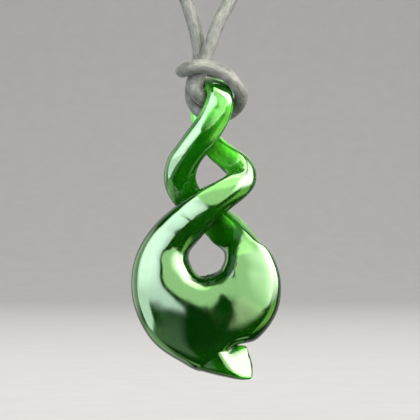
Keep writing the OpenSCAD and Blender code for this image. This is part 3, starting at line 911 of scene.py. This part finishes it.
class TWIST_OT_stage(bpy.types.Operator):
    """Sets up the paper sweep, the softboxes and the camera"""

    bl_idname = "twist.stage"
    bl_label = "Set the stage"

    def execute(self, context):
        looks = context.scene.twist_stage
        target = Vector(LOOKED_AT) * MM
        paper = self.sweep_paper(context, looks)
        for softbox in SOFTBOXES:
            self.link_light(self.softbox(target, looks.light, *softbox), paper, "EXCLUDE")
        for name, place, aim, wide, high, energy in PAPER_LIGHTS:
            lamp = area_lamp(name, place, Vector(place) - Vector(aim), wide, high)
            lamp.data.energy = energy
            lamp.visible_glossy = False
            self.link_light(lamp, paper, "INCLUDE")
        self.ambient(context)
        context.scene.view_settings.view_transform = "Standard"
        bpy.ops.object.camera_add(
            location=target - Vector((0, looks.distance, 0)), rotation=(math.radians(90), 0, 0)
        )
        camera = context.object
        camera.data.sensor_width = SENSOR
        camera.data.lens = SENSOR * looks.distance / looks.width
        camera.data.clip_start, camera.data.clip_end = 0.01, 50
        context.scene.camera = camera
        return {"FINISHED"}

    @staticmethod
    def sweep_paper(context, looks):
        """A pale floor that curves up into a wall far behind the pendant."""
        bpy.ops.mesh.primitive_plane_add(size=PAPER_WIDE, location=(0, PAPER_BACK, looks.floor))
        paper = context.object
        paper.name = paper.data.name = "Paper_sweep"
        bpy.ops.object.mode_set(mode="EDIT")
        bpy.ops.mesh.select_mode(type="EDGE")
        # The back edge is drawn up into the wall, and the edge between floor and wall is bent round
        pick(paper, "edges", lambda edge: all(v.co.y > 0 for v in edge.verts))
        bpy.ops.mesh.extrude_region_move(TRANSFORM_OT_translate={"value": (0, 0, PAPER_HIGH)})
        pick(paper, "edges", lambda edge: len(edge.link_faces) == 2)
        bpy.ops.mesh.bevel(offset=PAPER_BEND, segments=24)
        bpy.ops.object.mode_set(mode="OBJECT")
        bpy.ops.object.transform_apply(location=True, rotation=True, scale=True)
        bpy.ops.object.shade_smooth()
        paper.data.materials.append(studio_paper())
        paper.visible_glossy = paper.visible_diffuse = False
        return paper

    @staticmethod
    def link_light(lamp, paper, state):
        """Makes a lamp light the paper alone, or all but the paper."""
        reach = bpy.data.collections.new(f"{lamp.name} reach")
        reach.objects.link(paper)
        reach.collection_objects[0].light_linking.link_state = state
        lamp.light_linking.receiver_collection = reach

    @staticmethod
    def softbox(
        target, light, name, azimuth, elevation, width, height, roll, radiance, feather, colour, *flags
    ):
        """A softbox a metre from the pendant and facing it, that fills width by height degrees of its view.

        A flag is a black card whose edge runs from one azimuth and elevation to another. Its left side is lit.
        """
        away = direction(azimuth, elevation)
        wide, high = (2 * math.tan(math.radians(angle / 2)) for angle in (width, height))
        lamp = area_lamp(name, target + away, away, wide, high, roll)
        lamp.data.energy = light * radiance * math.pi * wide * high
        lamp.data.color = linear(colour)[:3]
        # The boxes below eye level are dim strips that only show in the stone's polish
        lamp.visible_diffuse = elevation > -10
        # The cloth is even in the middle and fades out over feather degrees along each edge
        lamp.data.use_nodes = True
        tree = lamp.data.node_tree
        over = add_node(tree, "NewGeometry", out="Parametric")
        fades = []
        for side, span in (("X", width), ("Y", height)):
            off = add_node(tree, "SeparateXYZ", {"Vector": over}, out=side)
            off = add_node(tree, "Math", {0: off, 1: 0.5}, operation="SUBTRACT")
            off = add_node(tree, "Math", {0: off}, operation="ABSOLUTE")
            fades.append(add_node(
                tree, "MapRange",
                {"Value": off, "From Min": 0.5 - feather / span, "From Max": 0.5, "To Min": 1.0, "To Max": 0.0},
                interpolation_type="SMOOTHSTEP",
            ))
        place = add_node(tree, "NewGeometry", out="Position")
        for flag in flags:
            across = direction(*flag[:2]).cross(direction(*flag[2:])).normalized()
            off = add_node(tree, "VectorMath", {0: place, 1: across}, operation="DOT_PRODUCT", out="Value")
            edge = target.dot(across)
            fades.append(add_node(
                tree, "MapRange",
                {"Value": off, "From Min": edge, "From Max": edge + math.radians(feather)},
                interpolation_type="SMOOTHSTEP",
            ))
        strength = fades[0]
        for fade in fades[1:]:
            strength = add_node(tree, "Math", {0: strength, 1: fade}, operation="MULTIPLY")
        tree.links.new(strength, tree.nodes["Emission"].inputs["Strength"])
        return lamp

    @staticmethod
    def ambient(context):
        """A pale room, dark in front of the pendant so that its polish has shadows, and lighter behind it."""
        world = bpy.data.worlds.new("Studio")
        context.scene.world = world
        world.use_nodes = True
        tree = world.node_tree
        way = add_node(tree, "TexCoord", out="Generated")
        ahead = add_node(tree, "SeparateXYZ", {"Vector": way}, out="Y")
        behind = add_node(
            tree, "MapRange",
            {"Value": ahead, "From Min": 0.35, "From Max": 1.0, "To Min": 0.02, "To Max": 0.7},
        )
        seen = add_node(tree, "LightPath")
        strength = add_node(tree, "MapRange", {"Value": seen, "To Min": behind, "To Max": 0.8})
        background = tree.nodes["Background"]
        background.inputs["Color"].default_value = linear("#f1f0ee")
        tree.links.new(strength, background.inputs["Strength"])


class TWIST_PT_panel(bpy.types.Panel):
    """Lists the pieces of the pendant and of its stage"""

    bl_idname = "TWIST_PT_panel"
    bl_label = "Twist Pendant"
    bl_space_type = "VIEW_3D"
    bl_region_type = "UI"
    bl_category = "Twist Pendant"

    def draw(self, context):
        scene = context.scene
        for operator, settings in (
            (TWIST_OT_stone, scene.twist_stone),
            (TWIST_OT_cord, scene.twist_cord),
            (TWIST_OT_clasp, scene.twist_clasp),
            (TWIST_OT_stage, scene.twist_stage),
        ):
            box = self.layout.box()
            box.operator(operator.bl_idname)
            for name in settings.__annotations__:
                box.prop(settings, name)


SETTINGS = {
    "twist_stone": TWIST_PG_Stone,
    "twist_cord": TWIST_PG_Cord,
    "twist_clasp": TWIST_PG_Clasp,
    "twist_stage": TWIST_PG_Stage,
}
CLASSES = (*SETTINGS.values(), TWIST_OT_stone, TWIST_OT_cord, TWIST_OT_clasp, TWIST_OT_stage, TWIST_PT_panel)


def register():
    for one in CLASSES:
        bpy.utils.register_class(one)
    for name, group in SETTINGS.items():
        setattr(bpy.types.Scene, name, PointerProperty(type=group))


def unregister():
    for name in SETTINGS:
        delattr(bpy.types.Scene, name)
    for one in reversed(CLASSES):
        bpy.utils.unregister_class(one)


def main():
    register()
    bpy.ops.twist.stage()
    bpy.ops.twist.stone()
    bpy.ops.twist.cord()
    bpy.ops.twist.clasp()
    bpy.context.view_layer.update()


if __name__ == "__main__":
    main()
